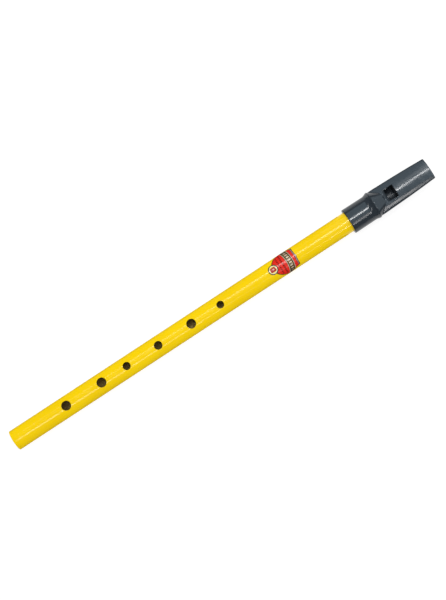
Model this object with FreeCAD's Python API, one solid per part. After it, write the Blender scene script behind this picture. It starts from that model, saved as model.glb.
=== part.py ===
# Tin whistle in D: a straight brass tube with six finger holes and a moulded push-on mouthpiece.
# Frame: +X runs along the tube from the open foot end towards the lips, +Z up through the finger
# holes and the window, +Y across. Origin: centre of the tube's foot end,
# on the tube's axis. Units: millimetres.
import FreeCAD, Part
import math
import os

V = FreeCAD.Vector

# ---------------------------------------------------------------- driving dimensions
# tube
TUBE_OD = 12.7              # half-inch brass tube
TUBE_WALL = 0.40
TUBE_L = 258.6              # foot end to the end inside the socket
TUBE_EDGE = 0.10            # break on the cut ends
HOLE_EDGE = 0.12            # rounded lacquered edge of each finger hole
# finger holes: distance from the foot end, diameter
HOLES = [(37.8, 5.90), (62.8, 5.95), (80.6, 4.80), (102.9, 5.15), (126.3, 5.85), (146.9, 4.55)]

# mouthpiece, stations along X
SOCKET_X0 = 237.8           # rim of the socket
SHOULDER_X = 259.0          # step that the tube end stops short of
FLARE_X0 = 250.6            # start of the concave flare
CREST_X0 = 255.05           # foot side of the crescent ridge
CREST_X1 = 255.75           # lip side of the ridge
LIP_X = 264.85              # sharp edge of the lip
EXIT_X = 270.75             # windway exit and front face of the block
TIP_X = 294.8               # end of the beak at the middle

SOCKET_R0 = 8.05            # outer radius at the rim
SOCKET_R1 = 7.93            # outer radius by the flare (moulding draft)
SOCKET_BORE_R = 6.40        # runs on the tube with 0.05 mm radial clearance
BORE_R = TUBE_OD / 2.0 - TUBE_WALL
SEAT_R = BORE_R - 0.15       # the block seats just inside the bore
RIM_FILLET = 0.45

CREST_C, CREST_R = 2.00, 8.72      # centre height and radius of the crescent
CREST_BREAK = 0.16                 # rounding of the ridge's edges
NOSE_X = 262.75                    # lip end of the nose, at its middle
NOSE_C, NOSE_R = 2.40, 4.45        # the cone's centre height and radius there

WINDOW_W = 8.12             # width of the window
WINDWAY_W = 7.90            # width of the windway
BLADE_Z0 = 6.05             # top of the blade's bevel
LIP_Z = 4.65                # lip edge, top
CEIL_Z = 4.20               # flat ceiling of the bore under the blade
FLOOR_Z = 3.90              # windway floor, the block's flat top
ROOF_Z0 = 4.85              # windway roof at the exit
ROOF_Z1 = 5.25              # windway roof at the lips
LEDGE_W, LEDGE_Z = 0.50, 5.20      # sloped ledge on each side of the window: width, height of its inner edge
LEDGE_SLOPE = 0.53                 # rise of the ledge towards the wall
LEDGE_X1 = 267.2                   # end of the ledges

TOP_R = 15.0                # crown of the beak's top
SHOULDER_R = 1.1            # rounding between the crown and the side

# beak stations: x, half width, top height, bottom height
BEAK = [
    (254.2, 8.00, 5.70, -7.30),
    (256.2, 8.12, 6.15, -7.62),
    (258.4, 8.17, 6.25, -7.80),
    (262.0, 8.10, 6.27, -7.82),
    (266.0, 7.99, 6.28, -7.74),
    (270.0, 7.88, 6.30, -7.22),
    (275.0, 7.74, 6.32, -6.00),
    (280.0, 7.56, 6.35, -4.45),
    (285.0, 7.34, 6.38, -2.85),
    (290.0, 7.08, 6.40, -1.20),
    (294.1, 6.84, 6.41, 0.12),
]
# the beak's end: distance back from the tip, inset of the outline
TIP_ROUND = [(0.70, 0.0), (0.42, 0.05), (0.20, 0.18), (0.06, 0.36), (0.0, 0.60)]

# label transfer (film on the tube): half outline as (distance along the tube, arc length from the top line)
LABEL_T = 0.06
LABEL_EDGE = [(200.55, 0.0), (200.22, 0.9), (200.05, 3.0), (200.00, 6.36)]
LABEL_SIDE = [(200.00, 6.36), (198.3, 6.95), (196.6, 7.60), (194.4, 8.75), (192.6, 9.10), (191.0, 8.75),
              (189.2, 7.60), (187.5, 6.26), (186.3, 5.00), (185.25, 3.75), (184.90, 3.04)]
BADGE_X, BADGE_R = 184.3, 3.10


# ---------------------------------------------------------------- helpers
def xcyl(r, x0, x1, y=0.0, z=0.0):
    return Part.makeCylinder(r, x1 - x0, V(x0, y, z), V(1, 0, 0))


def box(x0, x1, y0, y1, z0, z1):
    return Part.makeBox(x1 - x0, y1 - y0, z1 - z0, V(x0, y0, z0))


def prism_y(pts, y0, y1):
    """Prism along Y from a polygon of (x, z) points."""
    wire = Part.makePolygon([V(x, y0, z) for x, z in pts] + [V(pts[0][0], y0, pts[0][1])])
    return Part.Face(wire).extrude(V(0, y1 - y0, 0))


def prism_z(pts, z0, z1):
    wire = Part.makePolygon([V(x, y, z0) for x, y in pts] + [V(pts[0][0], pts[0][1], z0)])
    return Part.Face(wire).extrude(V(0, 0, z1 - z0))


def closed_wire(points):
    c = Part.BSplineCurve()
    c.interpolate(points, PeriodicFlag=True)
    return Part.Wire([c.toShape()])


def circle_wire(x, c, r):
    return Part.Wire([Part.Circle(V(x, 0, c), V(1, 0, 0), r).toShape()])


def lerp_table(table, x):
    for a, b in zip(table, table[1:]):
        if x <= b[0]:
            k = (x - a[0]) / (b[0] - a[0])
            return [p + (q - p) * k for p, q in zip(a[1:], b[1:])]
    return list(table[-1][1:])


def beak_outline(x, w, zt, zb):
    """Outer section of the beak: a crowned top, a tight shoulder and a full rounded underside."""
    rc = SHOULDER_R
    zc = zt - TOP_R                                   # centre of the crown
    zs = zc + math.sqrt((TOP_R - rc) ** 2 - (w - rc) ** 2)   # centre height of the shoulder arc
    a1 = math.asin((w - rc) / (TOP_R - rc))           # crown angle where the shoulder starts
    half = []
    n_top, n_sh, n_low = 9, 5, 11
    for i in range(n_top):                            # crown, from the middle out
        a = a1 * i / n_top
        half.append((TOP_R * math.sin(a), zc + TOP_R * math.cos(a)))
    for i in range(n_sh):                             # shoulder
        a = a1 + (math.pi / 2 - a1) * i / n_sh
        half.append(((w - rc) + rc * math.sin(a), zs + rc * math.cos(a)))
    for i in range(n_low + 1):                        # side and underside
        f = math.pi / 2 * i / n_low
        y = w * max(math.cos(f), 0.0) ** 0.93
        half.append((y, zs * (1 - math.sin(f)) + zb * math.sin(f)))
    right = [V(x, y, z) for y, z in half]
    left = [V(x, -y, z) for y, z in half[1:-1]][::-1]
    return right + left


def cavity_outline(x):
    """Section of the block and of its cavity: flat top at the windway floor, rounded below."""
    k = (x - EXIT_X) / (295.6 - EXIT_X)
    ze = 0.0 + (FLOOR_Z - 0.05) * k                   # centre height of the rounded part
    a = SEAT_R + (5.05 - SEAT_R) * k
    b = SEAT_R + (2.25 - SEAT_R) * k
    return ze, a, b


# ---------------------------------------------------------------- tube
def make_tube():
    t = xcyl(TUBE_OD / 2, 0, TUBE_L).cut(xcyl(BORE_R, -1, TUBE_L + 1))
    ends = [e for e in t.Edges if isinstance(e.Curve, Part.Circle)]
    t = t.makeChamfer(TUBE_EDGE, ends)
    for x, d in HOLES:
        t = t.cut(Part.makeCylinder(d / 2, 8.0, V(x, 0, 3.0), V(0, 0, 1)))
    rims = []
    for e in t.Edges:
        bb = e.BoundBox
        for x, d in HOLES:
            # outer rim of the hole: starts on the outer surface, so it reaches the tube's top
            if abs(bb.XLength - d) < 0.02 and abs(bb.Center.x - x) < 0.05 and abs(bb.ZMax - TUBE_OD / 2) < 0.01:
                rims.append(e)
    try:
        f = t.makeFillet(HOLE_EDGE, rims)
        if f.isValid() and f.Volume > 0:
            t = f
    except Exception as err:
        print("hole fillet skipped", err)
    print("tube rims", len(rims))
    return t


# ---------------------------------------------------------------- mouthpiece
def make_outer():
    # socket: a slightly drafted sleeve, its inner end tucked under the beak
    prof = [(SOCKET_X0, 0.0), (SOCKET_X0, SOCKET_R0), (FLARE_X0, SOCKET_R1), (256.6, SOCKET_R1),
            (259.8, 7.0), (259.8, 0.0)]
    wire = Part.makePolygon([V(x, 0, z) for x, z in prof] + [V(prof[0][0], 0, prof[0][1])])
    socket = Part.Face(wire).revolve(V(0, 0, 0), V(1, 0, 0), 360)
    rim = [e for e in socket.Edges if isinstance(e.Curve, Part.Circle)
           and abs(e.Curve.Radius - SOCKET_R0) < 1e-6 and abs(e.Curve.Center.x - SOCKET_X0) < 1e-6]
    socket = socket.makeFillet(RIM_FILLET, rim)

    # concave flare from the sleeve up to the crescent ridge
    R = 4.4
    secs = []
    zr = CREST_C + CREST_R - SOCKET_R1
    for x in (250.2, 250.9, 251.6, 252.3, 253.0, 253.6, 254.1, 254.5, 254.85, CREST_X0):
        d = max(0.0, x - 250.9)
        top = R - math.sqrt(max(R * R - d * d, 0.0)) if d < 3.7 else None
        if top is None:
            top = (R - math.sqrt(R * R - 3.7 ** 2)) + (d - 3.7) * 1.55
        wt = min(1.0, top / zr)                       # share of the rise reached on top
        ws = max(0.0, (x - 252.2) / (CREST_X0 - 252.2)) ** 1.6    # and at the sides, later and steeper
        r = (SOCKET_R1 - 0.06) + (CREST_R - SOCKET_R1 + 0.06) * ws
        c = SOCKET_R1 - 0.06 + (zr + 0.06) * wt - r
        if x <= 250.9:
            r = SOCKET_R1 - 0.06 - (250.9 - x) * 0.12
            c = 0.0
        if x == CREST_X0:
            r = CREST_R - CREST_BREAK
            c = CREST_C
        secs.append(circle_wire(x, c, r))
    flare = Part.makeLoft(secs, True, False)
    ridge = Part.makeLoft([circle_wire(CREST_X0 + (CREST_X1 - CREST_X0) * k, CREST_C, CREST_R - CREST_BREAK * q)
                           for k, q in ((0, 1), (0.2, 0.36), (0.5, 0), (0.8, 0.36), (1, 1))], True, False)

    # nose: an oblique cone from the ridge towards the lip, trimmed to a rounded outline
    k = (264.2 - CREST_X1) / (NOSE_X - CREST_X1)
    cone = Part.makeLoft([circle_wire(CREST_X1, CREST_C, CREST_R - CREST_BREAK),
                          circle_wire(264.2, CREST_C + (NOSE_C - CREST_C) * k, CREST_R + (NOSE_R - CREST_R) * k)],
                         True, True)
    half = [(262.75, 0.0), (262.60, 1.2), (262.20, 2.4), (261.45, 3.6), (260.30, 4.8), (258.95, 6.0),
            (257.35, 7.3), (255.7, 8.6), (253.6, 10.1)]

    def outline(z, off):
        c = Part.BSplineCurve()
        pts = [V(x + off, y * (1 + 0.1 * off), z) for x, y in half]
        pts = pts[::-1] + [V(p.x, -p.y, p.z) for p in pts[1:]]
        c.interpolate(pts)
        e = c.toShape()
        a, b = pts[0], pts[-1]
        l1 = Part.makeLine(b, V(249.0, b.y, z))
        l2 = Part.makeLine(V(249.0, b.y, z), V(249.0, a.y, z))
        l3 = Part.makeLine(V(249.0, a.y, z), a)
        return Part.Wire([e, l1, l2, l3])
    drum = Part.makeLoft([outline(-5.0, 4.0), outline(12.0, -2.0)], True, True)
    # the nose's lip end slopes down to the beak's top
    cone = cone.cut(prism_y([(261.35, 7.70), (262.95, 6.10), (267, 6.10), (267, 10), (261.35, 10)], -12, 12))
    nose = cone.common(drum)

    # beak
    beak = Part.makeLoft([closed_wire(beak_outline(*row)) for row in BEAK], True, False)
    x_end, w, zt, zb = BEAK[-1]
    zm = 0.5 * (zt + zb)
    wires = []
    for back, inset in TIP_ROUND:                    # rounded end, each section drawn in on every side
        pts = []
        for p in beak_outline(0.0, w, zt, zb):
            ny, nz = p.y / w ** 2, (p.z - zm) / ((zt - zb) / 2) ** 2
            m = math.hypot(ny, nz)
            pts.append(V(TIP_X - back, p.y - inset * ny / m, p.z - inset * nz / m))
        wires.append(closed_wire(pts))
    tip = Part.makeLoft(wires, True, True)
    body = socket.fuse([flare, ridge, nose, beak, tip])
    body = body.removeSplitter()
    return body


def make_cavity():
    """Tapered seat of the block, from the windway exit to beyond the lips."""
    wires = []
    for x in (EXIT_X, 276.0, 282.0, 288.0, 295.6):
        ze, a, b = cavity_outline(x)
        top = FLOOR_Z
        s = (top - ze) / b
        s = min(s, 0.999)
        yt = a * math.sqrt(1 - s * s)
        f0 = math.atan2(s, math.sqrt(1 - s * s))
        pts = []
        n = 24
        for i in range(n + 1):
            f = f0 - (math.pi + 2 * f0) * i / n
            pts.append(V(x, a * math.cos(f), ze + b * math.sin(f)))
        pts[0] = V(x, yt, top)
        pts[-1] = V(x, -yt, top)
        c = Part.BSplineCurve()
        c.interpolate(pts)
        wires.append(Part.Wire([c.toShape(), Part.makeLine(pts[-1], pts[0])]))
    return Part.makeLoft(wires, True, False)


def make_head():
    outer = make_outer()
    seat = make_cavity()
    w = WINDOW_W / 2
    socket_bore = xcyl(SOCKET_BORE_R, SOCKET_X0 - 2, SHOULDER_X)
    lead = Part.makeCone(SOCKET_BORE_R + 0.35, SOCKET_BORE_R, 0.35, V(SOCKET_X0, 0, 0), V(1, 0, 0))
    bore = xcyl(BORE_R, SHOULDER_X - 0.5, EXIT_X).common(box(250, 280, -10, 10, -10, CEIL_Z))
    window = box(LIP_X, EXIT_X, -w, w, 3.5, 12)
    blade = prism_y([(262.87, 9), (262.87, 6.245), (LIP_X, LIP_Z), (LIP_X + 0.3, LIP_Z), (LIP_X + 0.3, 9)], -w, w)
    for sgn in (1, -1):                              # narrow sloped ledges left along both sides, by the lip
        pts = [(w + 0.3, 3.0), (w + 0.3, LEDGE_Z + (LEDGE_W + 0.3) * LEDGE_SLOPE), (w - LEDGE_W, LEDGE_Z), (w - LEDGE_W, 3.0)]
        ledge = Part.Face(Part.makePolygon([V(263.6, sgn * y, z) for y, z in pts + pts[:1]])).extrude(V(LEDGE_X1 - 263.6, 0, 0))
        window = window.cut(ledge)
        blade = blade.cut(ledge)
    ww = WINDWAY_W / 2
    windway = prism_y([(EXIT_X - 0.5, 2.9), (299, 2.9), (299, ROOF_Z1 + 0.07), (EXIT_X, ROOF_Z0),
                       (EXIT_X - 0.5, ROOF_Z0)], -ww, ww)
    cuts = [window, blade, windway, seat, socket_bore, bore, lead]
    head = outer
    for s in cuts:
        head = head.cut(s)
    return head, seat, outer


# ---------------------------------------------------------------- label transfer
def make_label():
    """Thin printed film wrapped over the tube: a shield with the round badge at its narrow end."""
    V2 = FreeCAD.Base.Vector2d
    r0 = TUBE_OD / 2
    top = [(u, x) for x, u in LABEL_EDGE]
    side = [(u, x) for x, u in LABEL_SIDE]
    n = 9
    a0 = math.atan2(side[-1][1] - BADGE_X, side[-1][0])
    rb = math.hypot(side[-1][1] - BADGE_X, side[-1][0])
    badge = [(rb * math.cos(a0 - (a0 + math.pi / 2) * i / n), BADGE_X + rb * math.sin(a0 - (a0 + math.pi / 2) * i / n))
             for i in range(n + 1)]
    badge[0] = side[-1]
    badge[-1] = (0.0, BADGE_X - rb)

    def curves(r):
        def c2(pts):
            c = Part.Geom2d.BSplineCurve2d()
            c.interpolate([V2(u / r0, x) for u, x in pts])
            return c
        segs = [top, side, badge,
                [(-u, x) for u, x in badge[::-1]], [(-u, x) for u, x in side[::-1]], [(-u, x) for u, x in top[::-1]]]
        cyl = Part.Cylinder()
        cyl.Radius = r
        return cyl, [c2(s).toShape(cyl) for s in segs]
    co, eo = curves(r0 + LABEL_T)
    ci, ei = curves(r0)
    wo, wi = Part.Wire(eo), Part.Wire(ei)
    faces = [Part.Face(co, wo), Part.Face(ci, wi)]
    for a, b in zip(wo.Edges, wi.Edges):
        faces.append(Part.makeRuledSurface(a, b))
    shell = Part.makeShell(faces)
    shell.sewShape()
    solid = Part.makeSolid(shell)
    if solid.Volume < 0:
        solid.reverse()
    # local Z becomes +X and the angle's zero becomes +Z
    m = FreeCAD.Matrix(0, 0, 1, 0, 0, -1, 0, 0, 1, 0, 0, 0, 0, 0, 0, 1)
    solid = solid.transformed(m, True)
    return solid


# ---------------------------------------------------------------- build
os.makedirs("parts", exist_ok=True)

tube = make_tube()
head, seat, outer = make_head()
block = seat.common(outer)
# small break on the block's front top edge: the windway floor's exit chamfer
block = block.cut(prism_y([(EXIT_X - 0.1, FLOOR_Z - 0.30), (EXIT_X + 0.30, FLOOR_Z + 0.1), (EXIT_X - 0.1, FLOOR_Z + 0.1)],
                          -WINDOW_W / 2, WINDOW_W / 2))
label = make_label()

for name, shape in (("tube", tube), ("mouthpiece", head), ("fipple_block", block), ("label_transfer", label)):
    s = shape.Solids
    print(name, "valid", shape.isValid(), "solids", len(s), "volume %.2f" % shape.Volume,
          "box", [round(v, 2) for v in (shape.BoundBox.XMin, shape.BoundBox.XMax, shape.BoundBox.YMin,
                                        shape.BoundBox.YMax, shape.BoundBox.ZMin, shape.BoundBox.ZMax)])
    out = s[0] if len(s) == 1 else shape
    out.exportStep("parts/%s.step" % name)
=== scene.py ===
import math

import bmesh
import bpy
import numpy as np
from mathutils import Matrix, Vector


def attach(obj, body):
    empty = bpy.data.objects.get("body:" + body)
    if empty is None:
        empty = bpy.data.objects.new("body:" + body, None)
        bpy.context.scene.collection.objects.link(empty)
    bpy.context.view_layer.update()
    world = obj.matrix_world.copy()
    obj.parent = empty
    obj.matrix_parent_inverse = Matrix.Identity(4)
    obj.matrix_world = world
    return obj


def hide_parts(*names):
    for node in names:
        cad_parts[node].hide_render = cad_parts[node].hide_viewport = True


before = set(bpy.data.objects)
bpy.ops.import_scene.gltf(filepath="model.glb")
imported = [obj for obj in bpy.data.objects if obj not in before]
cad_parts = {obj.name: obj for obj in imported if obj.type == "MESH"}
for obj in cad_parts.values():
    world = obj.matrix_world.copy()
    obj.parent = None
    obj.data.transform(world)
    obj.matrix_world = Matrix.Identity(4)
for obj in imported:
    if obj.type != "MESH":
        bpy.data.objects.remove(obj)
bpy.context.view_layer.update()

MM = 0.001
scene = bpy.context.scene

# ------------------------------------------------------------------ sizes, in millimetres, as in the CAD
R_OUT, R_IN, TUBE_L = 6.35, 5.95, 258.6
HOLES = [(37.8, 5.90), (62.8, 5.95), (80.6, 4.80), (102.9, 5.15), (126.3, 5.85), (146.9, 4.55)]


def srgb(r, g, b):
    def f(v):
        v /= 255.0
        return v / 12.92 if v <= 0.04045 else ((v + 0.055) / 1.055) ** 2.4
    return (f(r), f(g), f(b))


def link(obj):
    scene.collection.objects.link(obj)
    return obj


def mesh_object(name, verts_mm, faces, mats=(), face_mats=None, smooth=True):
    me = bpy.data.meshes.new(name)
    me.from_pydata([tuple(v) for v in (np.asarray(verts_mm, float) * MM)], [], [tuple(int(i) for i in f) for f in faces])
    for m in mats:
        me.materials.append(m)
    if face_mats is not None:
        me.polygons.foreach_set("material_index", np.asarray(face_mats, dtype=np.int32))
    bm = bmesh.new()
    bm.from_mesh(me)
    bmesh.ops.recalc_face_normals(bm, faces=bm.faces)
    bm.to_mesh(me)
    bm.free()
    me.polygons.foreach_set("use_smooth", [smooth] * len(me.polygons))
    me.update()
    return link(bpy.data.objects.new(name, me))


# ------------------------------------------------------------------ node helpers
def new_mat(name):
    m = bpy.data.materials.new(name)
    m.use_nodes = True
    nt = m.node_tree
    nt.nodes.clear()
    out = nt.nodes.new("ShaderNodeOutputMaterial")
    bsdf = nt.nodes.new("ShaderNodeBsdfPrincipled")
    nt.links.new(bsdf.outputs["BSDF"], out.inputs["Surface"])
    return m, nt, bsdf


def noise(nt, vec, scale, detail=3.0, rough=0.5, distortion=0.0):
    n = nt.nodes.new("ShaderNodeTexNoise")
    n.inputs["Scale"].default_value = scale
    n.inputs["Detail"].default_value = detail
    n.inputs["Roughness"].default_value = rough
    n.inputs["Distortion"].default_value = distortion
    nt.links.new(vec, n.inputs["Vector"])
    return n.outputs["Fac"]


def map_range(nt, value, a, b, c, d):
    n = nt.nodes.new("ShaderNodeMapRange")
    n.inputs["From Min"].default_value = a
    n.inputs["From Max"].default_value = b
    n.inputs["To Min"].default_value = c
    n.inputs["To Max"].default_value = d
    nt.links.new(value, n.inputs["Value"])
    return n.outputs["Result"]


def mix_color(nt, fac, a, b):
    n = nt.nodes.new("ShaderNodeMix")
    n.data_type = "RGBA"
    for socket, v in ((n.inputs[6], a), (n.inputs[7], b)):
        if isinstance(v, tuple):
            socket.default_value = (v[0], v[1], v[2], 1.0)
        else:
            nt.links.new(v, socket)
    if isinstance(fac, float):
        n.inputs[0].default_value = fac
    else:
        nt.links.new(fac, n.inputs[0])
    return n.outputs[2]


def math_node(nt, op, a, b=None):
    n = nt.nodes.new("ShaderNodeMath")
    n.operation = op
    for i, v in enumerate((a, b)):
        if v is None:
            continue
        if isinstance(v, (int, float)):
            n.inputs[i].default_value = v
        else:
            nt.links.new(v, n.inputs[i])
    return n.outputs[0]


def obj_coords(nt, scale=(1, 1, 1)):
    tc = nt.nodes.new("ShaderNodeTexCoord")
    mp = nt.nodes.new("ShaderNodeMapping")
    mp.inputs["Scale"].default_value = scale
    nt.links.new(tc.outputs["Object"], mp.inputs["Vector"])
    return mp.outputs["Vector"]


def bump(nt, bsdf, height, strength, distance, after=None):
    n = nt.nodes.new("ShaderNodeBump")
    n.inputs["Strength"].default_value = strength
    n.inputs["Distance"].default_value = distance
    nt.links.new(height, n.inputs["Height"])
    if after is not None:
        nt.links.new(after, n.inputs["Normal"])
    nt.links.new(n.outputs["Normal"], bsdf.inputs["Normal"])
    return n.outputs["Normal"]


# ------------------------------------------------------------------ materials
def lacquer_material():
    """Glossy yellow lacquer over brass: slight pooling of colour, orange peel, hairline handling marks."""
    m, nt, b = new_mat("yellow_lacquer")
    v = obj_coords(nt)
    vl = obj_coords(nt, (0.25, 1, 1))                      # drawn out along the tube
    base = mix_color(nt, map_range(nt, noise(nt, v, 55.0, 2.0), 0.35, 0.65, 0.0, 1.0),
                     (0.930, 0.645, 0.0010), (0.905, 0.615, 0.0008))
    streak = map_range(nt, noise(nt, vl, 900.0, 2.0), 0.60, 0.80, 0.0, 0.10)
    base = mix_color(nt, streak, base, (0.80, 0.50, 0.0010))
    nt.links.new(base, b.inputs["Base Color"])
    r1 = map_range(nt, noise(nt, v, 160.0, 4.0), 0.3, 0.7, 0.15, 0.19)
    r2 = map_range(nt, noise(nt, vl, 2400.0, 2.0), 0.62, 0.78, 0.0, 0.05)
    nt.links.new(math_node(nt, "ADD", r1, r2), b.inputs["Roughness"])
    b.inputs["Specular IOR Level"].default_value = 0.30
    h = math_node(nt, "ADD", noise(nt, v, 700.0, 2.0), math_node(nt, "MULTIPLY", noise(nt, v, 90.0, 1.0), 3.0))
    bump(nt, b, h, 0.05, 0.00003)
    return m


def brass_material():
    """Bare brass in the bore and on the cut edges of the holes, dulled by breath and handling."""
    m, nt, b = new_mat("bare_brass")
    v = obj_coords(nt)
    vl = obj_coords(nt, (0.12, 1, 1))
    base = mix_color(nt, map_range(nt, noise(nt, v, 260.0, 5.0), 0.35, 0.7, 0.0, 1.0), (0.42, 0.30, 0.085), (0.26, 0.18, 0.05))
    nt.links.new(base, b.inputs["Base Color"])
    b.inputs["Metallic"].default_value = 0.35
    nt.links.new(map_range(nt, noise(nt, vl, 1500.0, 3.0), 0.3, 0.7, 0.28, 0.46), b.inputs["Roughness"])
    bump(nt, b, noise(nt, vl, 2600.0, 2.0), 0.15, 0.00003)
    return m


def plastic_material(name, low, high, rough):
    """Moulded slate-grey plastic: fine mould grain, faint flow marks and rubbed high edges."""
    m, nt, b = new_mat(name)
    v = obj_coords(nt)
    vf = obj_coords(nt, (0.35, 1, 1))
    base = mix_color(nt, map_range(nt, noise(nt, vf, 130.0, 3.0, 0.55, 0.6), 0.3, 0.7, 0.0, 1.0), low, high)
    geo = nt.nodes.new("ShaderNodeNewGeometry")
    edge = map_range(nt, geo.outputs["Pointiness"], 0.52, 0.60, 0.0, 0.55)
    worn = math_node(nt, "MULTIPLY", edge, map_range(nt, noise(nt, v, 420.0, 4.0), 0.35, 0.65, 0.25, 1.0))
    base = mix_color(nt, worn, base, tuple(min(1.0, c * 1.9) for c in high))
    nt.links.new(base, b.inputs["Base Color"])
    r = map_range(nt, noise(nt, v, 240.0, 5.0), 0.3, 0.7, rough - 0.05, rough + 0.06)
    scratch = map_range(nt, noise(nt, obj_coords(nt, (0.1, 1, 1)), 1900.0, 2.0), 0.66, 0.76, 0.0, 0.12)
    sep = nt.nodes.new("ShaderNodeSeparateXYZ")
    nt.links.new(v, sep.inputs[0])
    rad = math_node(nt, "SQRT", math_node(nt, "ADD", math_node(nt, "MULTIPLY", sep.outputs[1], sep.outputs[1]),
                                          math_node(nt, "MULTIPLY", sep.outputs[2], sep.outputs[2])))
    inner = math_node(nt, "MULTIPLY", map_range(nt, rad, 0.0062, 0.0066, 1.0, 0.0), map_range(nt, sep.outputs[2], 0.0040, 0.0046, 1.0, 0.0))
    inner = math_node(nt, "MULTIPLY", inner, map_range(nt, sep.outputs[0], 0.2720, 0.2740, 1.0, 0.0))
    r = math_node(nt, "ADD", math_node(nt, "ADD", r, scratch), math_node(nt, "MULTIPLY", inner, 0.22))
    nt.links.new(r, b.inputs["Roughness"])
    b.inputs["Specular IOR Level"].default_value = 0.5
    h = math_node(nt, "ADD", noise(nt, v, 2600.0, 3.0), math_node(nt, "MULTIPLY", noise(nt, v, 260.0, 2.0), 2.0))
    bump(nt, b, h, 0.06, 0.00003)
    return m


LACQUER = lacquer_material()
BRASS = brass_material()
PLASTIC = plastic_material("slate_plastic", (0.023, 0.030, 0.038), (0.028, 0.036, 0.045), 0.17)
BLOCK = plastic_material("slate_plastic_block", (0.022, 0.027, 0.034), (0.028, 0.034, 0.042), 0.30)


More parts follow.
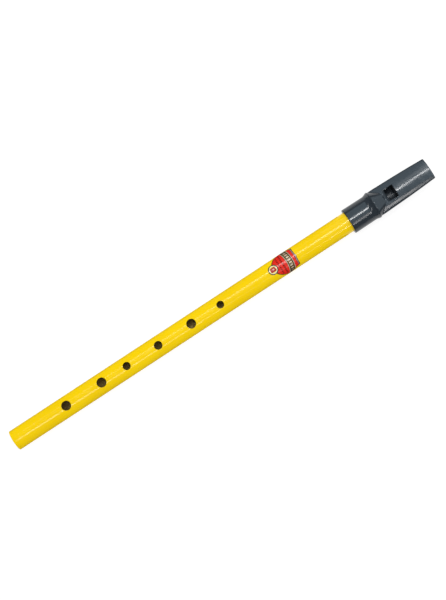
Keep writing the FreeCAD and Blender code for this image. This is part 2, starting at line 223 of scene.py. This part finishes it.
# ------------------------------------------------------------------ tube: one closed quad mesh with rounded finger-hole rims
def build_tube():
    M, K = 14, 58                    # segments across a hole patch, and round the rest of the tube
    B = 4.3                          # half length of a patch along the tube
    PB = math.radians(40.0)          # half angle of a patch
    FIL, FIL_IN = 0.17, 0.05         # rounded outer and inner edge of a hole
    phis = list(np.linspace(-PB, PB, M + 1)) + list(np.linspace(PB, 2 * math.pi - PB, K + 1))[1:-1]
    NP = len(phis)

    def p3(x, phi, r):
        return (x, r * math.sin(phi), r * math.cos(phi))

    stations, patch_at = [], {}
    x = 0.14
    stations.append(x)
    for hi, (hx, d) in enumerate(HOLES):
        a, c = hx - B, hx + B
        n = max(1, int(math.ceil((a - stations[-1]) / 3.2)))
        stations += list(np.linspace(stations[-1], a, n + 1))[1:]
        patch_at[hi] = len(stations) - 1
        stations += list(np.linspace(a, c, M + 1))[1:]
    n = int(math.ceil((TUBE_L - 0.12 - stations[-1]) / 3.2))
    stations += list(np.linspace(stations[-1], TUBE_L - 0.12, n + 1))[1:]
    NS = len(stations)
    verts, faces, fm = [], [], []

    def add(p):
        verts.append(p)
        return len(verts) - 1

    inside = {}
    for hi, i0 in patch_at.items():
        for i in range(i0 + 1, i0 + M):
            for j in range(1, M):
                inside[(i, j)] = hi
    grids = []
    for r in (R_OUT, R_IN):
        g = -np.ones((NS, NP), dtype=int)
        for i, sx in enumerate(stations):
            for j, ph in enumerate(phis):
                if (i, j) not in inside:
                    g[i, j] = add(p3(sx, ph, r))
        grids.append(g)
    for gi, g in enumerate(grids):
        for i in range(NS - 1):
            for j in range(NP):
                j2 = (j + 1) % NP
                q = (g[i, j], g[i + 1, j], g[i + 1, j2], g[i, j2])
                in_patch = any(i0 <= i < i0 + M for i0 in patch_at.values()) and j < M
                if not in_patch:
                    faces.append(q)
                    fm.append(gi)
    # hole patches: rings from the square's edge in to the rim, over the rim, down the wall, and out again inside
    for hi, i0 in patch_at.items():
        hx, d = HOLES[hi]
        a = d / 2
        per = [(i0 + k, 0) for k in range(M)] + [(i0 + M, k) for k in range(M)] + \
              [(i0 + M - k, M) for k in range(M)] + [(i0, M - k) for k in range(M)]
        ang = []
        for (i, j) in per:
            ang.append(math.atan2(phis[j] * R_OUT, stations[i] - hx))
        rings, kinds = [], []
        rings.append([grids[0][i, j] for i, j in per])
        for f in (0.80, 0.58, 0.36, 0.18, 0.07):
            ring = []
            for (i, j), s in zip(per, ang):
                y = (a + FIL) * math.sin(s)
                rx, rp = hx + (a + FIL) * math.cos(s), math.asin(y / R_OUT)
                ring.append(add(p3(rx + (stations[i] - rx) * f, rp + (phis[j] - rp) * f, R_OUT)))
            rings.append(ring)
            kinds.append(0)

        def rim(rho, depth):
            out = []
            for s in ang:
                y = rho * math.sin(s)
                r = R_OUT - depth
                out.append(add((hx + rho * math.cos(s), y, math.sqrt(r * r - y * y))))
            return out
        for k in range(6):
            b = math.radians(90.0 * k / 5)
            rings.append(rim(a + FIL * (1 - math.sin(b)), FIL * (1 - math.cos(b))))
            kinds.append(0)
        rings.append(rim(a, R_OUT - R_IN - FIL_IN))
        kinds.append(1)
        for k in (1, 2):
            b = math.radians(45.0 * k)
            rings.append(rim(a + FIL_IN * (1 - math.cos(b)), R_OUT - R_IN - FIL_IN * (1 - math.sin(b))))
            kinds.append(1)
        for f in (0.10, 0.35, 0.65):
            ring = []
            for (i, j), s in zip(per, ang):
                rho = a + FIL_IN
                y = rho * math.sin(s)
                rx, rp = hx + rho * math.cos(s), math.asin(y / R_IN)
                ring.append(add(p3(rx + (stations[i] - rx) * f, rp + (phis[j] - rp) * f, R_IN)))
            rings.append(ring)
            kinds.append(1)
        rings.append([grids[1][i, j] for i, j in per])
        kinds.append(1)
        for ra, rb, kd in zip(rings, rings[1:], kinds):
            n = len(ra)
            for k in range(n):
                faces.append((ra[k], ra[(k + 1) % n], rb[(k + 1) % n], rb[k]))
                fm.append(kd)

    # both ends: rounded from the outside over to the bore
    def end(i, sx, direction, outer_r, inner_r):
        prof = []
        for k in range(1, 5):
            b = math.radians(90.0 * k / 4)
            prof.append((sx + direction * outer_r * math.sin(b), R_OUT - outer_r * (1 - math.cos(b)), 0))
        for k in range(0, 3):
            b = math.radians(90.0 * k / 3)
            prof.append((sx + direction * (outer_r - inner_r * (1 - math.cos(b))), R_IN + inner_r * (1 - math.sin(b)), 1))
        rings = [[grids[0][i, j] for j in range(NP)]]
        for px, pr, _ in prof:
            rings.append([add(p3(px, ph, pr)) for ph in phis])
        rings.append([grids[1][i, j] for j in range(NP)])
        kinds = [0, 0, 0, 0] + [1] * (len(rings) - 5)
        for ra, rb, kd in zip(rings, rings[1:], kinds):
            for j in range(NP):
                faces.append((ra[j], ra[(j + 1) % NP], rb[(j + 1) % NP], rb[j]))
                fm.append(kd)
    end(0, 0.14, -1, 0.14, 0.08)
    end(NS - 1, TUBE_L - 0.12, 1, 0.12, 0.08)
    return mesh_object("tube_body", verts, faces, [LACQUER, BRASS], fm)


# ------------------------------------------------------------------ moulded parts: the CAD's exact shape, remeshed fine with softened edges
def remeshed(node, name, voxel_mm, iterations, material):
    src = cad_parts[node]
    me = src.data.copy()
    me.name = name
    bm = bmesh.new()
    bm.from_mesh(me)
    bmesh.ops.remove_doubles(bm, verts=bm.verts, dist=2e-7)
    bmesh.ops.scale(bm, vec=(100, 100, 100), verts=bm.verts)   # remesh at a larger scale, then back
    bm.to_mesh(me)
    bm.free()
    ob = link(bpy.data.objects.new(name, me))
    rm = ob.modifiers.new("remesh", "REMESH")
    rm.mode = "VOXEL"
    rm.voxel_size = voxel_mm * MM * 100
    rm.use_smooth_shade = True
    if iterations:
        sm = ob.modifiers.new("smooth", "SMOOTH")
        sm.factor = 0.5
        sm.iterations = iterations
    dg = bpy.context.evaluated_depsgraph_get()
    new = bpy.data.meshes.new_from_object(ob.evaluated_get(dg))
    ob.modifiers.clear()
    old = ob.data
    ob.data = new
    bpy.data.meshes.remove(old)
    co = np.empty(len(new.vertices) * 3, dtype=np.float32)
    new.vertices.foreach_get("co", co)
    new.vertices.foreach_set("co", co / 100.0)
    new.materials.clear()
    new.materials.append(material)
    new.polygons.foreach_set("use_smooth", [True] * len(new.polygons))
    new.update()
    return ob


# ------------------------------------------------------------------ label: printed film wrapped on the tube
LABEL_H = []
for _x in np.linspace(181.2, 184.90, 40):
    LABEL_H.append((float(_x), math.sqrt(max(0.0, 3.10 ** 2 - (_x - 184.3) ** 2))))
LABEL_H += [(185.25, 3.75), (186.3, 5.00), (187.5, 6.26), (189.2, 7.60), (191.0, 8.75), (192.6, 9.10), (194.4, 8.75),
            (196.6, 7.60), (198.3, 6.95), (200.0, 6.36)]


def smooth_interp(xs, ys, q):
    """Monotone cubic through the outline's points."""
    xs, ys, q = np.asarray(xs, float), np.asarray(ys, float), np.asarray(q, float)
    h = np.diff(xs)
    d = np.diff(ys) / h
    m = np.zeros_like(xs)
    m[1:-1] = np.where(d[:-1] * d[1:] > 0, 2 * d[:-1] * d[1:] / (d[:-1] + d[1:] + 1e-12), 0.0)
    m[0], m[-1] = d[0], d[-1]
    i = np.clip(np.searchsorted(xs, q) - 1, 0, len(xs) - 2)
    t = (q - xs[i]) / h[i]
    return ((1 + 2 * t) * (1 - t) ** 2 * ys[i] + t * (1 - t) ** 2 * h[i] * m[i]
            + t * t * (3 - 2 * t) * ys[i + 1] + t * t * (t - 1) * h[i] * m[i + 1])


def build_label():
    r_top = R_OUT + 0.055
    xs = np.concatenate([181.2 + (184.9 - 181.2) * (1 - np.cos(np.linspace(0, math.pi / 2, 70))) ** 1.0,
                         np.linspace(184.9, 200.0, 250)[1:]])
    half = np.concatenate([np.sqrt(np.maximum(0.0, 3.10 ** 2 - (xs[:70] - 184.3) ** 2)),
                           smooth_interp([p[0] for p in LABEL_H[-11:]], [p[1] for p in LABEL_H[-11:]], xs[70:])])
    half[0] = 0.02
    n = 301
    s = np.linspace(-1, 1, n)
    U = half[:, None] * s[None, :]
    X = np.repeat(xs[:, None], n, axis=1)
    # the straight end is drawn out to a small point on the top line
    edge = np.interp(np.abs(U), [0.0, 0.35, 0.9, 3.0, 6.36], [0.55, 0.42, 0.20, 0.05, 0.0])
    w = np.clip((X - 198.6) / 1.4, 0, 1) ** 1.5
    X = X + edge * w
    phi = U / R_OUT
    top = np.stack([X, r_top * np.sin(phi), r_top * np.cos(phi)], -1).reshape(-1, 3)
    # outline loop for distances
    loop = np.concatenate([np.stack([X[:, -1], U[:, -1]], 1), np.stack([X[-1, ::-1], U[-1, ::-1]], 1),
                           np.stack([X[::-1, 0], U[::-1, 0]], 1), np.stack([X[0, :], U[0, :]], 1)])
    loop = loop[::3]
    P = np.stack([X.ravel(), U.ravel()], 1)
    d_edge = np.empty(len(P))
    for i in range(0, len(P), 4000):
        blk = P[i:i + 4000]
        d_edge[i:i + 4000] = np.sqrt(((blk[:, None, :] - loop[None, :, :]) ** 2).sum(-1)).min(1)
    x, u = P[:, 0], P[:, 1]

    def lin(c):
        return np.array(srgb(*c))
    # the second red is a darker red used only as painted shade on the field's sides
    RED, RED_SHADED = lin((232, 34, 20)), lin((206, 24, 14))
    DARK, OLIVE = lin((44, 36, 20)), lin((104, 86, 34))
    CREAM, GOLD, MAROON = lin((250, 244, 208)), lin((212, 174, 70)), lin((74, 34, 18))
    YEL = lin((240, 218, 120))
    col = np.repeat(RED[None, :], len(P), 0)

    def soft(mask_d, width=0.07):
        """1 inside, 0 outside, over a short ink edge."""
        return np.clip(0.5 - mask_d / width, 0, 1)[:, None]

    def paint(sd, c):
        nonlocal col
        k = soft(sd)
        col = col * (1 - k) + c[None, :] * k
    # painted shade: the red field is darkened toward both sides, where the tube turns away from the light
    k = np.clip((np.abs(u) - 5.0) / 5.0, 0, 1)[:, None]
    col = col * (1 - 0.35 * k) + RED_SHADED[None, :] * 0.35 * k
    # rows of small diamonds on the field, generic ornament
    for row_x, lim, step, sz in ((188.70, 5.6, 1.30, 0.58), (190.95, 7.0, 1.30, 0.62)):
        cu = np.round(u / step) * step
        sd = np.abs(x - row_x) / 1.05 + np.abs(u - cu) - sz
        sd = np.where(np.abs(cu) > lim, 1.0, sd)
        k = soft(sd) * 0.85
        col = col * (1 - k) + lin((84, 8, 6))[None, :] * k
    # arched band with a chain of lozenges
    xc = 195.45 - 0.0200 * u * u
    db = np.abs(x - xc) - 1.98
    paint(db - 0.16, DARK)
    paint(db, CREAM * 0.62 + OLIVE * 0.38)
    paint(db + 0.30, lin((58, 20, 12)))
    step = 1.74
    kk = np.floor(u / step + 0.5)
    cu = kk * step
    loz = (np.abs(x - xc) / 1.22 + np.abs(u - cu) / 0.62 - 1.0) * 0.52
    fade = np.clip(1.30 - np.abs(u) / 6.5, 0.22, 1)[:, None]
    k = soft(loz) * fade
    col = col * (1 - k) + CREAM[None, :] * k
    core = (np.abs(x - xc) / 0.42 + np.abs(u - cu) / 0.28 - 1.0) * 0.3
    k = soft(core) * fade
    col = col * (1 - k) + lin((150, 40, 24))[None, :] * k
    cm = (np.floor(u / step) + 0.5) * step
    for off in (-0.92, 0.92):
        dot = np.hypot(x - (xc + off), u - cm) - 0.24
        k = soft(dot) * fade
        col = col * (1 - k) + GOLD[None, :] * k
    # straight end: dark line, pale line, dark line
    de = (200.0 + np.interp(np.abs(u), [0.0, 0.35, 0.9, 3.0, 6.36], [0.55, 0.42, 0.20, 0.05, 0.0])) - x
    paint(np.abs(de - 0.92) - 0.16, DARK)
    paint(np.abs(de - 0.54) - 0.22, lin((206, 200, 204)))
    paint(de - 0.28, DARK)
    # outline round the shield
    side = np.where(x < 199.7, d_edge, 9.0)
    paint(side - 0.60, DARK)
    paint(side - 0.26, OLIVE * 0.8 + GOLD * 0.2)
    # round badge over the narrow end
    rr = np.hypot(x - 184.3, u)
    paint(rr - 3.16, DARK)
    paint(rr - 2.52, CREAM)
    paint(rr - 2.14, YEL)
    a, b, c = np.abs(x - 184.3) - 1.22, np.abs(u) - 0.80, 0.60
    sq = np.hypot(np.maximum(a, 0), np.maximum(b, 0)) + np.minimum(np.maximum(a, b), 0) - c
    paint(sq, lin((176, 22, 18)))
    paint((np.abs(x - 184.5) / 0.80 + np.abs(u) / 0.50 - 1.0) * 0.4, lin((226, 176, 160)))
    k = soft(np.abs(rr - 3.05) - 0.07) * 0.6
    col = col * (1 - k) + OLIVE[None, :] * k

    nx, nu = X.shape
    idx = np.arange(nx * nu).reshape(nx, nu)
    q = np.stack([idx[:-1, :-1], idx[1:, :-1], idx[1:, 1:], idx[:-1, 1:]], -1).reshape(-1, 4)
    # film edge: a skirt down to the lacquer
    ring = np.concatenate([idx[:, -1], idx[-1, ::-1][1:], idx[::-1, 0][1:], idx[0, :][1:-1]])
    base_r = R_OUT + 0.004
    pr = phi.ravel()[ring]
    low = np.stack([X.ravel()[ring], base_r * np.sin(pr), base_r * np.cos(pr)], -1)
    verts = np.concatenate([top, low])
    off = len(top)
    m = len(ring)
    sk = [(int(ring[i]), int(ring[(i + 1) % m]), off + (i + 1) % m, off + i) for i in range(m)]
    faces = [tuple(int(v) for v in f) for f in q] + sk
    ob = mesh_object("label_film", verts, faces)
    me = ob.data
    att = me.color_attributes.new("print", "FLOAT_COLOR", "POINT")
    full = np.concatenate([col, np.repeat(DARK[None, :], m, 0)])
    rgba = np.concatenate([full, np.ones((len(full), 1))], 1).astype(np.float32)
    att.data.foreach_set("color", rgba.ravel())
    mat, nt, bs = new_mat("printed_film")
    at = nt.nodes.new("ShaderNodeVertexColor")
    at.layer_name = "print"
    v = obj_coords(nt)
    grain = map_range(nt, noise(nt, v, 1500.0, 4.0), 0.3, 0.7, 0.0, 0.16)
    nt.links.new(mix_color(nt, grain, at.outputs["Color"], (0.10, 0.05, 0.02)), bs.inputs["Base Color"])
    nt.links.new(map_range(nt, noise(nt, v, 420.0, 4.0), 0.3, 0.7, 0.16, 0.30), bs.inputs["Roughness"])
    bump(nt, bs, math_node(nt, "ADD", noise(nt, v, 900.0, 3.0), math_node(nt, "MULTIPLY", noise(nt, v, 150.0, 2.0), 2.0)), 0.14, 0.00004)
    me.materials.append(mat)
    return ob


tube = build_tube()
head = remeshed("mouthpiece", "mouthpiece_shell", 0.09, 4, PLASTIC)
block = remeshed("fipple_block", "block_plug", 0.11, 4, BLOCK)
label = build_label()

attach(tube, "tube_body")
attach(label, "tube_body")
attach(head, "head")
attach(block, "head")
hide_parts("tube")
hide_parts("label_transfer")
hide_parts("mouthpiece")
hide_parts("fipple_block")

# ------------------------------------------------------------------ camera: almost straight down on the whistle, which lies turned a few degrees
ROLL = math.radians(6.3)
TURN = math.radians(33.244)
H = 800.0
PX_MM = 1.677
c_dir = Vector((0, -math.sin(ROLL), math.cos(ROLL)))
ex = Vector((1, 0, 0))
ey = Vector((0, math.cos(ROLL), math.sin(ROLL)))
right = ex * math.cos(TURN) - ey * math.sin(TURN)
up = ex * math.sin(TURN) + ey * math.cos(TURN)
target = ex * 149.72 + ey * 2.05
cam = bpy.data.cameras.new("camera")
cam.sensor_width = 36.0
cam.lens = PX_MM * H * 36.0 / 600.0
cam.clip_start = 0.01
cam.clip_end = 50.0
cam_ob = link(bpy.data.objects.new("camera", cam))
loc = (target + c_dir * H) * MM
cam_ob.matrix_world = Matrix(((right.x, up.x, c_dir.x, loc.x), (right.y, up.y, c_dir.y, loc.y),
                              (right.z, up.z, c_dir.z, loc.z), (0, 0, 0, 1)))
scene.camera = cam_ob


def stage_point(x_right, y_up, h):
    """A place given across the view, in millimetres, at height h above the whistle's axis."""
    return (target + right * x_right + up * y_up + c_dir * h) * MM


# ------------------------------------------------------------------ floor: the whistle's foot and socket rest on it
slope = (8.05 - 6.35) / 238.25
n_floor = (c_dir + ex * slope).normalized()
fx = (ex - n_floor * ex.dot(n_floor)).normalized()
fy = n_floor.cross(fx)
origin = n_floor * -6.37
bm = bmesh.new()
bmesh.ops.create_grid(bm, x_segments=24, y_segments=24, size=3.0)
me = bpy.data.meshes.new("floor")
bm.to_mesh(me)
bm.free()
floor = link(bpy.data.objects.new("floor", me))
floor.matrix_world = Matrix(((fx.x, fy.x, n_floor.x, origin.x * MM + 0.15), (fx.y, fy.y, n_floor.y, origin.y * MM),
                             (fx.z, fy.z, n_floor.z, origin.z * MM - 0.15 * slope), (0, 0, 0, 1)))
fmat, nt, fb = new_mat("pale_floor")
fb.inputs["Base Color"].default_value = (0.25, 0.25, 0.25, 1)
fb.inputs["Roughness"].default_value = 0.9
fb.inputs["Specular IOR Level"].default_value = 0.0
fb.inputs["Emission Color"].default_value = (1, 1, 1, 1)
fb.inputs["Emission Strength"].default_value = 0.84
me.materials.append(fmat)
floor.visible_glossy = False

# ------------------------------------------------------------------ light
world = bpy.data.worlds.new("world")
scene.world = world
world.use_nodes = True
world.node_tree.nodes["Background"].inputs[0].default_value = (1.0, 1.0, 1.0, 1)
world.node_tree.nodes["Background"].inputs[1].default_value = 0.62
world.cycles_visibility.glossy = False


def area(name, at, aim, sx, sy, radiance, color=(1, 1, 1), glossy=True, diffuse=True, along=None):
    """A rectangular lamp sx by sy mm; radiance 1 looks as bright as the lit white floor."""
    l = bpy.data.lights.new(name, "AREA")
    l.shape = "RECTANGLE"
    l.size, l.size_y = sx * MM, sy * MM
    l.energy = radiance * math.pi * sx * sy * MM * MM
    l.color = color
    ob = link(bpy.data.objects.new(name, l))
    z = (at - aim).normalized()
    xa = (along if along is not None else right).normalized()
    xa = (xa - z * xa.dot(z)).normalized()
    ya = z.cross(xa)
    ob.matrix_world = Matrix(((xa.x, ya.x, z.x, at.x), (xa.y, ya.y, z.y, at.y), (xa.z, ya.z, z.z, at.z), (0, 0, 0, 1)))
    ob.visible_glossy = glossy
    ob.visible_diffuse = diffuse
    ob.visible_camera = False
    return ob


def axis_point(a, b, h):
    """A place given along and across the whistle, in millimetres from the view's centre; +b is the side with the key light."""
    return (target + ex * a + ey * b + c_dir * h) * MM


mid = stage_point(0, 0, 0)
# broad soft light from above and a little to the upper left: it shades the tube but isn't mirrored in it
area("key_soft", axis_point(0, 175, 690), mid, 500, 400, 4.1, glossy=False)
# pale panel over the mouthpiece, mirrored as the soft grey sheen of the plastic
area("panel_head", axis_point(225, 480, 326), axis_point(225, 480, 0), 210, 1300, 1.05, color=(0.78, 1.0, 1.14), diffuse=False, along=ex)
# upright card beyond the beak, mirrored in the slope behind the ridge and in the lip's ramp
area("card_end", axis_point(430, 0, 130), axis_point(110, 0, 0), 760, 260, 0.95, color=(0.82, 1.0, 1.1), diffuse=False, along=ey)
# lamp mirrored by the rounded top of the ridge
area("glint_ridge", axis_point(310, 40, 330), axis_point(310, 40, 0), 130, 620, 4.0, color=(0.86, 1.0, 1.1), diffuse=False, along=ex)
# a white card on the floor round the mouthpiece, mirrored along the lower flanks of the socket
area("card_head", axis_point(115, 0, -7), axis_point(115, 0, 50), 60, 260, 0.9, diffuse=False, along=ex)
# long narrow lamps across the view, mirrored as the thin lines along the whistle: ends, place, width, radiance
LAMPS = [(-345, -200, 114, 26, 4.0), (-200, -60, 118, 26, 10.0), (-60, 80, 114, 26, 15.0), (80, 122, 120, 34, 34.0),
         (122, 215, 160, 26, 26.0), (60, 215, 250, 90, 1.6),
         (-160, -60, -166, 26, 17.0), (-60, 90, -170, 26, 12.0), (90, 220, -178, 26, 3.0), (240, 300, -168, 30, 21.0)]
for i, (x0, x1, y, w, rad) in enumerate(LAMPS):
    xc = (x0 + x1) / 2
    area("strip_%02d" % i, stage_point(xc, y, 325), stage_point(xc, y, 0), x1 - x0, w, rad, diffuse=False)

# broad lamp mirrored along the lower side of the beak's crowned top
area("sheen_beak", stage_point(275.5, -97.0, 325), stage_point(275.5, -97.0, 0), 56, 72, 8.0, color=(1.0, 0.98, 0.97),
     diffuse=False, along=ex)

scene.view_settings.view_transform = "Standard"
scene.view_settings.look = "None"
scene.view_settings.exposure = 0.0
scene.view_settings.gamma = 1.0
